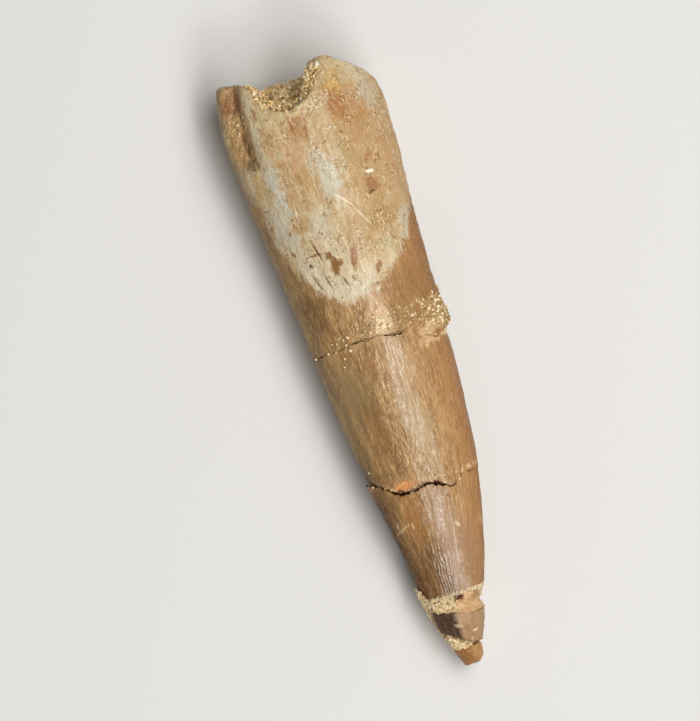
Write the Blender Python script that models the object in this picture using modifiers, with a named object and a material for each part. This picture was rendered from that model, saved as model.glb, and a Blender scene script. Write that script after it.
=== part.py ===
"""Fossil tooth of a long-necked marine reptile, lying on its side.

The tooth is broken through in three places and set back together. Sandy matrix fills the hollow of the root
and the break near the tip, where it holds a loose flake of enamel and the worn end of the tooth.

X runs along the tooth from the root to the tip, Z is up, and the tooth rests on a narrow worn flat at Z = 0.
Sizes are in millimetres until the last step, where MM turns them into metres.
"""

import math

import bmesh
import bpy
from mathutils import Vector, noise

MM = 0.001

# The whole tooth. Each pair is a distance from the root's end and a size there.
TOOTH_LENGTH = 56.2
HALF_WIDTH = (
    (0.0, 6.65), (1.2, 7.05), (3.4, 7.4), (6.5, 7.44), (12.0, 7.1), (17.0, 6.68), (24.0, 6.28), (30.0, 5.98),
    (36.0, 5.44), (40.0, 4.94), (43.5, 4.27), (47.5, 3.35), (51.0, 2.62), (52.6, 2.3), (54.0, 1.74),
    (55.2, 1.2), (TOOTH_LENGTH, 0.8),
)
SIDE_DRIFT = (
    (0.0, -0.02), (7.0, 0.0), (16.0, 0.15), (34.0, 0.24), (42.0, 0.1), (46.8, -0.18), (50.0, -0.62),
    (52.5, -0.84), (TOOTH_LENGTH, -0.83),
)
BELLY_LIFT = ((0.0, 0.25), (4.0, 0.0), (33.0, 0.0), (43.0, 0.55), (50.0, 1.35), (TOOTH_LENGTH, 2.5))
ROOT_OVAL = 0.88  # height over width of the root, which the rock has pressed a little flat
CROWN_OVAL = 0.94
OVAL_CHANGES = (14.0, 30.0)
UNEVENNESS = 0.008  # share of the radius by which the growth wanders from a true oval
DENT_DEPTH = 0.13
DENT_LENGTH, DENT_WIDTH = 6.0, 3.5
FLAT_DEPTH = 0.2  # how much is worn off the belly, which leaves a flat about 3 mm wide

SEGMENTS = 52
RING_SPACING = 1.75
FACE_RINGS = (0.4, 0.75, 0.95)  # shares of the radius that a fracture's rings lie at
FITTING_GAP = 0.3  # the joint between two fragments, or between a fragment and the matrix

# The broken end of the root: degrees round from the right over the top, and how far the rim lies back there
# from the longest splinter. It has a notch on top, between the two splinters, and a shoulder on the right.
RIM_LINE = (
    (-180, 0.3), (-150, 0.9), (-120, 1.7), (-60, 1.9), (-20, 3.6), (0, 5.0), (14, 3.8), (26, 2.7), (44, 1.4),
    (62, 0.15), (69, 1.4), (75, 2.7), (82, 3.6), (90, 4.0), (102, 4.1), (112, 3.6), (118, 3.1), (124.5, 1.1),
    (140, 0.75), (149, 0.2), (180, 0.3),
)
RIM_SLOPE = 0.45  # how much further out the inner edge of the rim stands than its outer edge
RIM_FADE = 11.0
RIM_RAGGEDNESS, RIM_CHIPS = 0.25, 0.2
RIM_ROUNDING = 0.25
WALL_THICKNESS_TOP = 1.0
CAVITY_HALF_WIDTH = 4.7
CAVITY_DRIFT = -0.35
CAVITY_DEPTH = 7.5
CAVITY_TAPER = 0.45
PLUG_FACE, PLUG_SLOPE = 1.35, 2.1
PLUG_LUMPS, PLUG_LUMP_SIZE = 0.35, 0.9
PLUG_SEGMENTS = 36

# The groove that runs down from the broken end, on the upper left.
GROOVE_ANGLE = 147.5
GROOVE_TURN = -0.5  # degrees for each millimetre along
GROOVE_LENGTH = 9.5
GROOVE_FADE = 0.45  # the share of its length at which it starts to run out
GROOVE_HALF_WIDTH = 9.5
GROOVE_DEPTH = 0.95

# The three breaks. A step, a sweep or a wave is how far a break is moved along the tooth, by the place in Y.
UPPER_BREAK = 26.0
UPPER_STEP, UPPER_STEP_PLACE, UPPER_STEP_WIDTH = 1.25, 5.3, 1.2
MIDDLE_BREAK = 39.7
MIDDLE_SWEEP, MIDDLE_SWEEP_ACROSS = 1.8, (-5.4, -2.0)
MIDDLE_WAVE, MIDDLE_WAVE_PLACE, MIDDLE_WAVE_WIDTH = 0.4, 2.2, 1.0
LOWER_BREAK = 50.0
LOWER_SWEEP, LOWER_SWEEP_ACROSS = 1.8, (-4.1, -2.8)
BREAK_BULGE = 0.9
BREAK_ROUGHNESS, BREAK_LUMPS = 0.2, 1.3

# What chips and sand do to the skin beside them: a height, how many degrees it spreads round, and between
# which distances from the break it fades.
UPPER_CHIP, UPPER_CHIP_SPREAD, UPPER_CHIP_FADE = 0.15, 35, (1, 5)  # lost on the right, below the upper break
MIDDLE_CHIP, MIDDLE_CHIP_SPREAD, MIDDLE_CHIP_FADE = 0.22, 30, (-4.2, -1.8)  # lost above the middle break
MIDDLE_KNOB, MIDDLE_KNOB_SPREAD, MIDDLE_KNOB_FADE = 0.17, 24, (-0.9, 0.5)  # stands proud below it
CRUST_HEIGHT, CRUST_ANGLE, CRUST_SPREAD = 0.38, 8, 26
CRUST_START = 22.6
RIDGE_HEIGHT = 0.055
RIDGES_START, RIDGES_FULL = 41.0, 47.0

# The tip, with the matrix that swells on the left, is pinched on the right and beds the flake.
TIP_START = 54.85
TIP_SEGMENTS = 28
TIP_BULGE = 0.55
TIP_SLANT = 0.45
FLAKE_THICKNESS = 0.5
FLAKE_START, FLAKE_END = 51.95, 54.5
FLAKE_TOP_SLANT, FLAKE_END_SLANT = 0.75, 1.8
FLAKE_FROM_ANGLE, FLAKE_TO_ANGLE = -12.0, 148.0
FLAKE_RAGGEDNESS = 0.12
BED_MARGIN = 8, 22  # degrees past the flake's sides at which its bed starts and ends its rise to the skin
COLLAR_SWELL, COLLAR_PLACE, COLLAR_LENGTH, COLLAR_SPREAD = 0.4, 49.1, 0.9, 50
NECK_DEPTH, NECK_PLACE, NECK_LENGTH, NECK_SPREAD = 0.42, 50.8, 0.55, 48
MATRIX_ROUGHNESS, MATRIX_LUMPS = 0.14, 0.8


def clamp(value, low=0.0, high=1.0):
    return max(low, min(high, value))


def ease(start, end, value):
    """0 before start, 1 after end, and a smooth rise between them."""
    share = clamp((value - start) / (end - start))
    return share * share * (3 - 2 * share)


def hump(centre, half_width, value):
    """A smooth hump, 1 at its centre and near 0 beyond two half widths."""
    return math.exp(-(((value - centre) / half_width) ** 2))


def along(stations, distance):
    """A smooth curve through the stations, read at a distance from the root's end, or at an angle."""
    places = [place for place, _ in stations]
    sizes = [size for _, size in stations]
    distance = clamp(distance, places[0], places[-1])
    last = len(places) - 2
    i = min(last, max(k for k, place in enumerate(places) if place <= distance))
    span = places[i + 1] - places[i]

    def slope(k):
        before, after = max(k - 1, 0), min(k + 1, len(places) - 1)
        return (sizes[after] - sizes[before]) / (places[after] - places[before])

    t = (distance - places[i]) / span
    rise = t * t * (3 - 2 * t)
    return (
        sizes[i] * (1 - rise)
        + sizes[i + 1] * rise
        + slope(i) * span * t * (1 - t) ** 2
        - slope(i + 1) * span * t * t * (1 - t)
    )


def oval(distance):
    return ROOT_OVAL + (CROWN_OVAL - ROOT_OVAL) * ease(*OVAL_CHANGES, distance)


def half_height(distance):
    return along(HALF_WIDTH, distance) * oval(distance)


def axis_point(distance):
    """The middle of the tooth at a distance from the root's end."""
    height = along(BELLY_LIFT, distance) + half_height(distance) - FLAT_DEPTH
    return Vector((distance, along(SIDE_DRIFT, distance), height))


def relative_angle(angle, middle):
    """Degrees from middle to angle, the short way round."""
    return (math.degrees(angle) - middle + 180) % 360 - 180


def groove(distance, angle):
    middle = GROOVE_ANGLE + GROOVE_TURN * distance
    across = hump(0, GROOVE_HALF_WIDTH, relative_angle(angle, middle))
    return GROOVE_DEPTH * across * (1 - ease(GROOVE_FADE * GROOVE_LENGTH, GROOVE_LENGTH, distance))


def crust(distance, angle):
    """Sand stuck on the upper right, where the upper break leaves a step."""
    round_side = hump(CRUST_ANGLE, CRUST_SPREAD, relative_angle(angle, 0))
    return CRUST_HEIGHT * round_side * ease(CRUST_START, UPPER_BREAK, distance)


def ridges(distance, angle):
    """Growth ridges of the enamel, which stand out near the tip."""
    return RIDGE_HEIGHT * math.cos(angle * SEGMENTS / 2) * ease(RIDGES_START, RIDGES_FULL, distance)


def surface_radius(distance, angle):
    """The tooth's two half axes at a distance, changed by the growth's unevenness and by dents."""
    wander = 1 + UNEVENNESS * (
        math.sin(2 * angle + 0.11 * distance) + 0.8 * math.sin(3 * angle - 0.17 * distance + 1.0)
    )
    wide, high = along(HALF_WIDTH, distance), half_height(distance)
    across, up = wide * math.cos(angle) / DENT_WIDTH, high * math.sin(angle) / DENT_WIDTH
    dent = DENT_DEPTH * noise.noise(Vector((distance / DENT_LENGTH, across, up)))
    return wander * wide + dent, wander * high + dent


def on_tooth(distance, angle, share, relief=0.0):
    """A point at an angle round the axis, from +Y through +Z, at a share of the way out to the skin."""
    wide, high = surface_radius(distance, angle)
    out = Vector((0, (wide + relief) * math.cos(angle), (high + relief) * math.sin(angle)))
    return axis_point(distance) + share * out


def worn_flat(point):
    """The belly is worn to a flat at Z = 0."""
    return Vector((point.x, point.y, max(point.z, 0.0)))


def rough(point, size, seed=0.0):
    """Even noise between about -1 and 1, with lumps of a size."""
    return noise.noise(point / size + Vector((seed, 3.1 * seed, 7.7)))


def break_bulge(y, z, distance):
    """How far the inside of a fracture stands ahead of its edge."""
    axis = axis_point(distance)
    across = (y - axis.y) / along(HALF_WIDTH, distance)
    up = (z - axis.z) / half_height(distance)
    return BREAK_BULGE * clamp(1 - across * across - up * up)


def upper_break(y, z):
    step = UPPER_STEP * hump(UPPER_STEP_PLACE, UPPER_STEP_WIDTH, y)
    return UPPER_BREAK + step + break_bulge(y, z, UPPER_BREAK)


def middle_break(y, z):
    sweep = -MIDDLE_SWEEP * (1 - ease(*MIDDLE_SWEEP_ACROSS, y))
    wave = MIDDLE_WAVE * hump(MIDDLE_WAVE_PLACE, MIDDLE_WAVE_WIDTH, y)
    return MIDDLE_BREAK + sweep + wave + break_bulge(y, z, MIDDLE_BREAK)


def lower_break(y, z):
    sweep = -LOWER_SWEEP * (1 - ease(*LOWER_SWEEP_ACROSS, y))
    return LOWER_BREAK + sweep + break_bulge(y, z, LOWER_BREAK)


def fracture(break_line, seed):
    """The break's mid surface with its roughness, as a function of the place across the tooth."""

    def surface(y, z):
        return break_line(y, z) + BREAK_ROUGHNESS * rough(Vector((0, y, z)), BREAK_LUMPS, seed)

    return surface


UPPER, MIDDLE, LOWER = fracture(upper_break, 1), fracture(middle_break, 2), fracture(lower_break, 3)


def tip_break(y, z):
    """The loose end's own break, which stands out towards the root so that it sits in a socket."""
    axis = axis_point(TIP_START)
    size = along(HALF_WIDTH, TIP_START)
    return TIP_START - TIP_BULGE * clamp(1 - ((y - axis.y) / size) ** 2 - ((z - axis.z) / size) ** 2)


def rim_setback(angle, share):
    """How far the root's broken rim lies back from the longest splinter, at a share of the way out."""
    line = along(RIM_LINE, relative_angle(angle, 0))
    chips = RIM_RAGGEDNESS * rough(Vector((math.cos(angle), math.sin(angle), 0)), RIM_CHIPS, 5)
    return max(0.0, line + chips - RIM_SLOPE * (1 - share) * ease(0.5, 3.0, line))


def cavity_point(distance, angle, share, clearance=0.0):
    """A point in the hollow of the root, at a share of the way out to its wall."""
    taper = 1 - CAVITY_TAPER * ease(0.2 * CAVITY_DEPTH, 1.3 * CAVITY_DEPTH, distance)
    wide = CAVITY_HALF_WIDTH * taper - clearance
    high = (half_height(distance) - WALL_THICKNESS_TOP) * taper - clearance
    drift = Vector((0, CAVITY_DRIFT, 0))
    return axis_point(distance) + drift + share * Vector((0, wide * math.cos(angle), high * math.sin(angle)))


def turned_blank(profile, segments=SEGMENTS):
    """A mesh turned from a profile of (distance, radius) points, listed from the tip's side to the root's."""
    points = [(radius, 0, distance) for distance, radius in profile]
    mesh = bpy.data.meshes.new("profile")
    mesh.from_pydata(points, [(i, i + 1) for i in range(len(points) - 1)], [])
    blank = bpy.data.objects.new("blank", mesh)
    bpy.context.scene.collection.objects.link(blank)
    screw = blank.modifiers.new("turn", "SCREW")
    screw.axis = "Z"
    screw.angle = 2 * math.pi
    screw.steps = screw.render_steps = segments
    screw.use_merge_vertices = True
    screw.merge_threshold = 0.0001
    turned = bpy.data.meshes.new_from_object(blank.evaluated_get(bpy.context.evaluated_depsgraph_get()))
    bpy.data.objects.remove(blank)
    return turned


def shaped(mesh, place):
    """Moves each point of a turned blank to its place, given its distance, angle and radius there."""
    for vertex in mesh.vertices:
        distance, radius = vertex.co.z, math.hypot(vertex.co.x, vertex.co.y)
        vertex.co = place(distance, math.atan2(vertex.co.y, vertex.co.x), radius)
    return mesh


def finish_piece(name, mesh, colour, roughness, collection):
    """One named object from a mesh in millimetres, with its normals out and its own material."""
    grid = bmesh.new()
    grid.from_mesh(mesh)
    bmesh.ops.remove_doubles(grid, verts=grid.verts, dist=1e-4)
    bmesh.ops.dissolve_degenerate(grid, edges=grid.edges, dist=1e-5)
    bmesh.ops.recalc_face_normals(grid, faces=grid.faces)
    bmesh.ops.scale(grid, vec=(MM, MM, MM), verts=grid.verts)
    grid.to_mesh(mesh)
    grid.free()
    mesh.name = name
    mesh.materials.clear()
    mesh.materials.append(material(name, colour, roughness))
    mesh.shade_smooth()
    mesh.set_sharp_from_angle(angle=math.radians(40))
    piece = bpy.data.objects.new(name, mesh)
    collection.objects.link(piece)
    return piece


def material(name, colour, roughness):
    made = bpy.data.materials.new(name)
    made.use_nodes = True
    shader = made.node_tree.nodes["Principled BSDF"]
    shader.inputs["Base Color"].default_value = (*colour, 1)
    shader.inputs["Roughness"].default_value = roughness
    shader.inputs["Metallic"].default_value = 0.0
    return made


def spaced(start, end, spacing):
    """Distances from start to end, both included, about a spacing apart."""
    steps = max(1, round((end - start) / spacing))
    return [start + (end - start) * i / steps for i in range(steps + 1)]


def between_breaks(point_at, distance, start, root_side, end, tip_side, reach):
    """The distance moved so that the piece meets both fractures, with the change fading away from them."""
    moved = distance
    for _ in range(4):
        point = point_at(moved)
        shift = 0.0
        if root_side:
            fade = 1 - ease(0, reach, distance - start)
            shift += (root_side(point.y, point.z) + FITTING_GAP / 2 - start) * fade
        if tip_side:
            fade = 1 - ease(0, reach, end - distance)
            shift += (tip_side(point.y, point.z) - FITTING_GAP / 2 - end) * fade
        moved = distance + shift
    return moved


def fragment(start, root_side, end, tip_side, relief):
    """A length of crown between two fractures, as a mesh."""
    profile = [(end, 0.0)]
    profile += [(end, share) for share in FACE_RINGS]
    profile += [(distance, 1.0) for distance in reversed(spaced(start, end, RING_SPACING))]
    profile += [(start, share) for share in reversed(FACE_RINGS)]
    profile += [(start, 0.0)]
    reach = 0.48 * (end - start)

    def place(distance, angle, share):
        def point_at(at):
            return on_tooth(at, angle, share, ridges(at, angle) + relief(at, angle))

        return worn_flat(point_at(between_breaks(point_at, distance, start, root_side, end, tip_side, reach)))

    return shaped(turned_blank(profile), place)


def crown_middle():
    def relief(distance, angle):
        right = hump(0, UPPER_CHIP_SPREAD, relative_angle(angle, 0))
        below = 1 - ease(*UPPER_CHIP_FADE, distance - UPPER_BREAK)
        left = hump(0, MIDDLE_CHIP_SPREAD, relative_angle(angle, 180))
        above = ease(*MIDDLE_CHIP_FADE, distance - MIDDLE_BREAK)
        return -UPPER_CHIP * right * below - MIDDLE_CHIP * left * above

    return fragment(UPPER_BREAK, UPPER, MIDDLE_BREAK, MIDDLE, relief)


def crown_lower():
    def relief(distance, angle):
        left = hump(0, MIDDLE_KNOB_SPREAD, relative_angle(angle, 180))
        return MIDDLE_KNOB * left * (1 - ease(*MIDDLE_KNOB_FADE, distance - MIDDLE_BREAK))

    return fragment(MIDDLE_BREAK, MIDDLE, LOWER_BREAK, LOWER, relief)


def root_section():
    """The root with its hollow and broken rim, and the base of the crown, down to the upper break."""
    end = UPPER_BREAK
    inner = 0.5  # the blank's radius where the hollow's wall is
    rim_rings = [0.0, 0.5, 1.2, 2.1, 3.3]
    profile = [(end, 0.0)]
    profile += [(end, share) for share in FACE_RINGS]
    profile += [(distance, 1.0) for distance in reversed(rim_rings + spaced(5.0, end, RING_SPACING))]
    profile += [(0.0, 0.8), (0.0, 0.6)]
    profile += [(distance, inner) for distance in (0.3, 2.4, 4.8, CAVITY_DEPTH)]
    profile += [(CAVITY_DEPTH, inner * share) for share in (0.6, 0.25, 0.0)]

    def place(distance, angle, radius):
        outward = clamp((radius - inner) / (1 - inner))
        setback = rim_setback(angle, outward) * (1 - ease(0, RIM_FADE, distance))
        in_hollow = radius <= inner + 1e-6 and distance <= CAVITY_DEPTH + 1e-6
        if in_hollow:
            return cavity_point(distance + setback * (1 - distance / CAVITY_DEPTH), angle, radius / inner)
        if distance == 0.0:
            wall = cavity_point(setback, angle, 1.0)
            skin = on_tooth(setback, angle, 1.0, -groove(setback, angle))
            return worn_flat(wall.lerp(skin, outward) + Vector((RIM_ROUNDING * (1 - outward) ** 2, 0, 0)))

        def point_at(at):
            return on_tooth(at, angle, radius, crust(at, angle) - groove(at, angle))

        moved = between_breaks(point_at, distance, 0, None, end, UPPER, 4.0) + setback
        return worn_flat(point_at(moved))

    return shaped(turned_blank(profile), place)


def pulp_matrix():
    """The granular matrix in the root's hollow, whose open face slopes from the notch down and out."""
    back = CAVITY_DEPTH - FITTING_GAP
    profile = [(back, 0.0), (back, 0.5), (back, 0.85)]
    profile += [(distance, 1.0) for distance in (back - 0.5, 4.2, 2.2, 0.0)]
    profile += [(0.0, share) for share in (0.86, 0.68, 0.5, 0.32, 0.16, 0.0)]

    def open_face(angle, share):
        up = share * math.sin(angle)
        across = share * math.cos(angle)
        lumps = rough(CAVITY_HALF_WIDTH * Vector((across, up, 0)), PLUG_LUMP_SIZE, 9)
        return PLUG_FACE + PLUG_SLOPE * ease(-0.5, 1.0, up) + PLUG_LUMPS * lumps

    def place(distance, angle, share):
        front = open_face(angle, share) * (1 - distance / back)
        return cavity_point(distance + front, angle, share, FITTING_GAP)

    return shaped(turned_blank(profile, PLUG_SEGMENTS), place)


def tip_matrix():
    """The sandy filling of the lowest break."""
    start, end = LOWER_BREAK, TIP_START
    bed_edge = FLAKE_START - FITTING_GAP - 0.05
    profile = [(end, 0.0), (end, 0.5), (end, 0.85)]
    profile += [(distance, 1.0) for distance in reversed(spaced(bed_edge + 0.1, end, 0.42))]
    profile += [(distance, 1.0) for distance in reversed(spaced(start, bed_edge, 0.5))]
    profile += [(start, share) for share in reversed(FACE_RINGS)]
    profile += [(start, 0.0)]

    def bed(distance, angle):
        """How deep the flake's bed is cut. Past its end the matrix is back at the tooth's skin."""
        degrees = relative_angle(angle, 0)
        if distance < bed_edge + 0.05:
            return 0.0
        near, far = BED_MARGIN
        round_tooth = ease(-far, -near, degrees - FLAKE_FROM_ANGLE)
        round_tooth *= 1 - ease(near, far, degrees - FLAKE_TO_ANGLE)
        past_end = ease(flake_end(degrees) + 0.3, flake_end(degrees) + 0.45, distance)
        return (FLAKE_THICKNESS + FITTING_GAP) * round_tooth * (1 - past_end)

    def place(distance, angle, share):
        swell = COLLAR_SWELL * hump(0, COLLAR_SPREAD, relative_angle(angle, 180))
        pinch = NECK_DEPTH * hump(0, NECK_SPREAD, relative_angle(angle, 10))
        top_slant = flake_top(relative_angle(angle, 0)) - FLAKE_START
        along_bed = distance + top_slant * hump(bed_edge, 1.1, distance)

        def point_at(at):
            swollen = swell * hump(COLLAR_PLACE, COLLAR_LENGTH, at)
            pinched = pinch * hump(NECK_PLACE, NECK_LENGTH, at)
            lumps = MATRIX_ROUGHNESS * rough(on_tooth(at, angle, 1.0), MATRIX_LUMPS, 4)
            return on_tooth(at, angle, share, swollen - pinched + lumps - bed(distance, angle))

        return point_at(between_breaks(point_at, along_bed, start, LOWER, end, tip_break, 1.6))

    return shaped(turned_blank(profile), place)


def flake_top(degrees):
    return FLAKE_START - FLAKE_TOP_SLANT * ease(50, FLAKE_TO_ANGLE, degrees)


def flake_end(degrees):
    return FLAKE_END - FLAKE_END_SLANT * ease(65, FLAKE_TO_ANGLE + 20, degrees)


def enamel_flake():
    """A curved plate of enamel, lying where the tooth's skin would be."""
    columns, rows = 12, 6
    mesh = bpy.data.meshes.new("flake")
    grid = bmesh.new()
    bmesh.ops.create_grid(grid, x_segments=columns, y_segments=rows, size=0.5)
    for vertex in grid.verts:
        round_share, long_share = vertex.co.x + 0.5, vertex.co.y + 0.5
        degrees = FLAKE_FROM_ANGLE + (FLAKE_TO_ANGLE - FLAKE_FROM_ANGLE) * round_share
        chip = FLAKE_RAGGEDNESS * rough(Vector((columns * round_share, rows * long_share, 0)), 2.0, 6)
        distance = flake_top(degrees) + (flake_end(degrees) - flake_top(degrees)) * long_share + chip
        vertex.co = on_tooth(distance, math.radians(degrees), 1.0)
    bmesh.ops.recalc_face_normals(grid, faces=grid.faces)
    grid.to_mesh(mesh)
    grid.free()
    plate = bpy.data.objects.new("plate", mesh)
    bpy.context.scene.collection.objects.link(plate)
    solid = plate.modifiers.new("thickness", "SOLIDIFY")
    solid.thickness = FLAKE_THICKNESS
    solid.offset = -1 if outward_facing(mesh) else 1
    solid.use_even_offset = True
    made = bpy.data.meshes.new_from_object(plate.evaluated_get(bpy.context.evaluated_depsgraph_get()))
    bpy.data.objects.remove(plate)
    return made


def outward_facing(mesh):
    """Whether the patch's faces look away from the tooth's axis."""
    total = 0.0
    for face in mesh.polygons:
        total += face.normal.dot(face.center - axis_point(face.center.x))
    return total > 0


def tip_fragment():
    """The worn, blunt end of the tooth, which slants back to the right."""
    start, end = TIP_START, TOOTH_LENGTH
    profile = [(end, 0.0), (end, 0.5), (end - 0.1, 0.85)]
    profile += [(distance, 1.0) for distance in reversed(spaced(start, end - 0.35, 0.3))]
    profile += [(start, 0.7), (start, 0.35), (start, 0.0)]

    def place(distance, angle, share):
        def point_at(at):
            slant = TIP_SLANT * share * math.cos(angle) * ease(start, end, distance)
            return on_tooth(at - slant, angle, share)

        return point_at(between_breaks(point_at, distance, start, tip_break, end, None, 0.8))

    return shaped(turned_blank(profile, TIP_SEGMENTS), place)


def centred_on_base(pieces):
    """Moves every piece so that the origin is at the middle of the base of the whole tooth's box."""
    corners = [vertex.co for piece in pieces for vertex in piece.data.vertices]
    middle = [(min(c[k] for c in corners) + max(c[k] for c in corners)) / 2 for k in (0, 1)]
    for piece in pieces:
        for vertex in piece.data.vertices:
            vertex.co.x -= middle[0]
            vertex.co.y -= middle[1]


def build():
    for obj in list(bpy.data.objects):
        bpy.data.objects.remove(obj)
    tooth = bpy.data.collections.new("fossil_tooth")
    bpy.context.scene.collection.children.link(tooth)
    pieces = [
        finish_piece("root_section", root_section(), (0.52, 0.39, 0.24), 0.5, tooth),
        finish_piece("crown_middle", crown_middle(), (0.39, 0.24, 0.11), 0.35, tooth),
        finish_piece("crown_lower", crown_lower(), (0.35, 0.19, 0.08), 0.3, tooth),
        finish_piece("tip_matrix", tip_matrix(), (0.67, 0.49, 0.25), 0.9, tooth),
        finish_piece("enamel_flake", enamel_flake(), (0.16, 0.09, 0.04), 0.3, tooth),
        finish_piece("tip_fragment", tip_fragment(), (0.41, 0.21, 0.07), 0.3, tooth),
        finish_piece("pulp_matrix", pulp_matrix(), (0.38, 0.28, 0.14), 0.8, tooth),
    ]
    centred_on_base(pieces)


build()
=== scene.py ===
import math
from types import SimpleNamespace

import bpy
from mathutils import Matrix, Vector


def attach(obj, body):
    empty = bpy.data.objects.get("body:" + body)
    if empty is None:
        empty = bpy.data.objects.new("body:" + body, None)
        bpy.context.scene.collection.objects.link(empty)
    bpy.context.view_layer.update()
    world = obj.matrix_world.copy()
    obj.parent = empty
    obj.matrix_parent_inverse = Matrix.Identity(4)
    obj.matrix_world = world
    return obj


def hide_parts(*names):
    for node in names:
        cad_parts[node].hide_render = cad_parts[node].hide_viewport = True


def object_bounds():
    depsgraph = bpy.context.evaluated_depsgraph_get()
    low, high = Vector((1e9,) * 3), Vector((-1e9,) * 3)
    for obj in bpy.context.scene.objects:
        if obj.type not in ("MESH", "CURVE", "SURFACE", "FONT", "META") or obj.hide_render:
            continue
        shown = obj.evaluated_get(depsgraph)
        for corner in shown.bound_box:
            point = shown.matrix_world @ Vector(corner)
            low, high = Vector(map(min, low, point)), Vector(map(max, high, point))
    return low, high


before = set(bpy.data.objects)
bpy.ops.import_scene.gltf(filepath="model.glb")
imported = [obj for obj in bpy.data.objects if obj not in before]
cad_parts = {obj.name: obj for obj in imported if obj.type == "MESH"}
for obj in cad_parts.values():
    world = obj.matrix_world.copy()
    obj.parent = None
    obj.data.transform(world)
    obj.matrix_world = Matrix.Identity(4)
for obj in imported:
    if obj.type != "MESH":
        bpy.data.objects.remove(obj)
cadLow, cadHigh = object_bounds()
mm = 0.001

tooth = {
    "rootEnd": 0.15,  # where the longest splinter is, measured from the whole root's own end
    "rounding": 3,  # levels of subdivision on the copies of the solids
    "flatBelow": 0.6,  # no relief at the worn flat, and all of it from this height
    "patternRadius": 7.0,  # patterns are drawn as if the tooth were a cylinder of this radius
    "axisSide": 0.15,  # the axis is a little right of the middle
    "axisHeight": 6.25,  # height of the axis at the root, and how it sinks towards the tip
    "axisSink": 0.00098,
    "tipDrift": 1.0,  # how far the tip leans to the left
    "tipDriftFrom": 38.0,
    "tipDriftTo": 54.0,
}


def rgb(red, green, blue):  # a colour as a screen shows it, made linear
    shares = [value / 255 for value in (red, green, blue)]
    return tuple(s / 12.92 if s <= 0.04045 else ((s + 0.055) / 1.055) ** 2.4 for s in shares) + (1.0,)


class Wire:  # one socket of a node tree, so that node maths reads as plain expressions
    def __init__(self, tree, socket=None):
        self.tree = tree
        self.socket = socket

    def add(self, kind, settings=None, values=None, output=0):  # any other node
        made = self.tree.nodes.new(kind)
        for name, value in (settings or {}).items():
            if name == "points":
                setCurve(made, value)
            elif name == "stops":
                setRamp(made, value)
            else:
                setattr(made, name, value)
        for name, value in (values or {}).items():
            if isinstance(value, Wire):
                self.tree.links.new(value.socket, made.inputs[name])
            else:
                made.inputs[name].default_value = value
        return Wire(self.tree, made.outputs[output] if made.outputs else None)

    def math(self, operation, *values):
        return self.add("ShaderNodeMath", {"operation": operation}, dict(enumerate(values)))

    def vectors(self, operation, other, socket=1, output=0):  # vector maths
        return self.add("ShaderNodeVectorMath", {"operation": operation}, {0: self, socket: other}, output)

    def __add__(self, other):
        return self.math("ADD", self, other)

    def __radd__(self, other):
        return self.math("ADD", other, self)

    def __sub__(self, other):
        return self.math("SUBTRACT", self, other)

    def __rsub__(self, other):
        return self.math("SUBTRACT", other, self)

    def __mul__(self, other):
        return self.math("MULTIPLY", self, other)

    def __rmul__(self, other):
        return self.math("MULTIPLY", other, self)

    def __truediv__(self, other):
        return self.math("DIVIDE", self, other)

    def size(self):
        return self.math("ABSOLUTE", self)

    def power(self, exponent):
        return self.math("POWER", self, exponent)

    def sine(self):
        return self.math("SINE", self)


def setCurve(node, points):  # a float curve through these points, with smooth handles
    curve = node.mapping.curves[0]
    while len(curve.points) < len(points):
        curve.points.new(0.5, 0.5)
    for point, place in zip(curve.points, points):
        point.location = place
    node.mapping.update()


def setRamp(node, stops):
    elements = node.color_ramp.elements
    while len(elements) < len(stops):
        elements.new(1.0)
    for element, (place, colour) in zip(elements, stops):
        element.position = place
        element.color = colour


def rise(value, start, end):  # 0 before start, 1 after end, smooth between
    settings = {"interpolation_type": "SMOOTHSTEP"}
    values = {"Value": value, "From Min": start, "From Max": end}
    return value.add("ShaderNodeMapRange", settings, values)


def hill(value, middle, reach):  # 1 at the middle, 0 past the reach on either side
    return 1 - rise((value - middle).size(), 0.0, reach)


def curveOver(value, stations):  # a smooth curve through (place, size) pairs
    places = [place for place, _ in stations]
    sizes = [size for _, size in stations]
    low, span = min(sizes), max(sizes) - min(sizes)
    points = [((p - places[0]) / (places[-1] - places[0]), (s - low) / span) for p, s in stations]
    values = {"Value": value, "From Min": places[0], "From Max": places[-1]}
    share = value.add("ShaderNodeMapRange", {}, values)
    return value.add("ShaderNodeFloatCurve", {"points": points}, {"Value": share}) * span + low


def vector(x, y, z):
    start = next(part for part in (x, y, z) if isinstance(part, Wire))
    return start.add("ShaderNodeCombineXYZ", {}, {"X": x, "Y": y, "Z": z})


def noise(place, size, detail, roughness, seed):  # mostly -0.4 to 0.4, with lumps of a size
    shift = (seed, -seed, 2 * seed)
    moved = place.vectors("ADD", shift)
    values = {"Vector": moved, "Scale": 1 / size, "Detail": detail, "Roughness": roughness}
    return place.add("ShaderNodeTexNoise", {}, values) * 2 - 1


def cells(place, size):  # 0 at the middle of each cell
    return place.add("ShaderNodeTexVoronoi", {}, {"Vector": place, "Scale": 1 / size}, "Distance")


def pits(w, size, reach, patches, seed):  # small round pits, gathered in patches
    where = rise(noise(w.skin, patches, 2.0, 0.5, seed), -0.05, 0.25)
    return (1 - rise(cells(w.skin, size), reach * 0.5, reach)) * where


def mix(under, over, share):  # colours
    values = {0: share, 6: under, 7: over}
    start = next(part for part in (share, under, over) if isinstance(part, Wire))
    return start.add("ShaderNodeMix", {"data_type": "RGBA"}, values, 2)


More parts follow.
